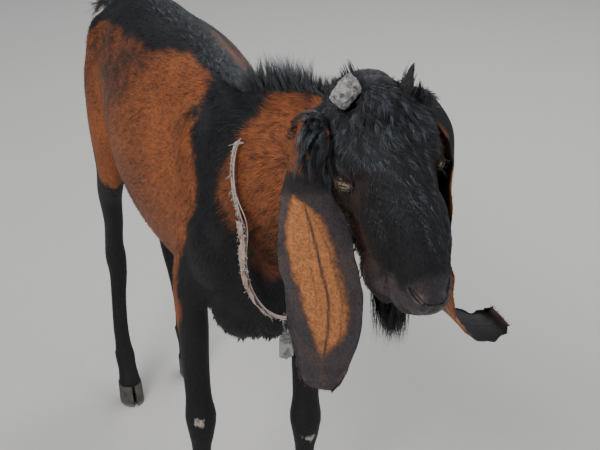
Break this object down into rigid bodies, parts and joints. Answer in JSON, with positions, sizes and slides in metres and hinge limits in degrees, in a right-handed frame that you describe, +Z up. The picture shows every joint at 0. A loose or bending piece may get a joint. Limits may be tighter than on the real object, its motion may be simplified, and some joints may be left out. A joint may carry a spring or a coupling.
{
  "type": "billy goat model",
  "caption": "Life-size still model of a black and brown long-eared billy goat with horn stubs, a beard, a string collar with torn cloth and a small tin bell.",
  "frame": {"origin": "on the floor, under the middle of the model's own box", "axes": "the goat faces -Y, +X is its left side, +Z up"},
  "size_m": [0.35, 1.2813, 0.9344],
  "materials": {
    "brown_coat": "short hair, satin",
    "black_coat": "short hair, satin",
    "horn": "rough dry horn",
    "hoof": "dull hoof horn",
    "eyeball": "wet",
    "string": "loose string bundle",
    "torn_cloth": "frayed",
    "tin": "worn bare metal"
  },
  "bodies": {
    "root": {"torso": "brown_coat", "neck": "brown_coat", "head": "black_coat", "tail": "black_coat", "leg_front_right_upper": "black_coat", "leg_front_right_lower": "black_coat", "leg_front_left_upper": "black_coat", "leg_front_left_lower": "black_coat", "leg_hind_right_upper": "black_coat", "leg_hind_right_lower": "black_coat", "leg_hind_left_upper": "black_coat", "leg_hind_left_lower": "black_coat", "ear_right": "brown_coat", "eye_right": "eyeball", "horn_right": "horn", "ear_left": "brown_coat", "eye_left": "eyeball", "horn_left": "horn", "claw_front_right_right": "hoof", "claw_front_right_left": "hoof", "claw_front_left_right": "hoof", "claw_front_left_left": "hoof", "claw_hind_right_right": "hoof", "claw_hind_right_left": "hoof", "claw_hind_left_right": "hoof", "claw_hind_left_left": "hoof", "collar": "string", "collar_cloth": "torn_cloth", "bell_link": "tin", "bell": "tin", "bell_clapper": "tin"}
  },
  "joints": []
}
